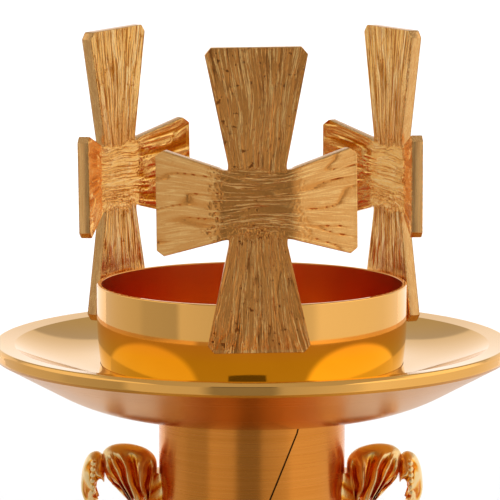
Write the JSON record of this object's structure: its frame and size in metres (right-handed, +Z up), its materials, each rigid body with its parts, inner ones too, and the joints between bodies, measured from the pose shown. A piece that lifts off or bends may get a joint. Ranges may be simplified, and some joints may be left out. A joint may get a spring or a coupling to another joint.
{
  "type": "altar candlestick",
  "caption": "Low altar candlestick: a wide candle cup ringed by cast crosses, on a drip dish, a satin stem with leaf scrolls and a round weighted base.",
  "frame": {"origin": "on the table, at the centre of the base", "axes": "+Z up along the stem and the cup; the front cross faces -Y"},
  "size_m": [0.18, 0.18, 0.3],
  "materials": {
    "polished_gold": "mirror polished, gold plated",
    "antique_gold": "cast, chased with bark-like grooves, satin gold",
    "satin_gold": "satin, brushed round the stem",
    "cast_gold": "cast and polished, gold plated",
    "plain_brass": "turned brass",
    "plain_steel": "zinc plated",
    "cast_iron": "as cast",
    "felt": "green felt"
  },
  "bodies": {
    "root": {"candle_cup": "polished_gold", "cross_front": "antique_gold", "cross_rear_left": "antique_gold", "cross_rear_right": "antique_gold", "cross_screws": "plain_brass", "drip_dish": "polished_gold", "cup_spacer": "plain_brass", "stem_tube": "satin_gold", "stem_top_plug": "plain_brass", "stem_bottom_plug": "plain_brass", "leaf_scroll_left": "cast_gold", "leaf_scroll_right": "cast_gold", "scroll_screws": "plain_steel", "base_shell": "polished_gold", "base_collar": "polished_gold", "base_weight": "cast_iron", "base_plate": "plain_steel", "plate_screws": "plain_steel", "felt_pad": "felt", "tie_rod": "plain_steel", "top_washer": "plain_brass", "top_nut": "plain_brass", "bottom_washer": "plain_steel", "bottom_nut": "plain_steel"}
  },
  "joints": []
}
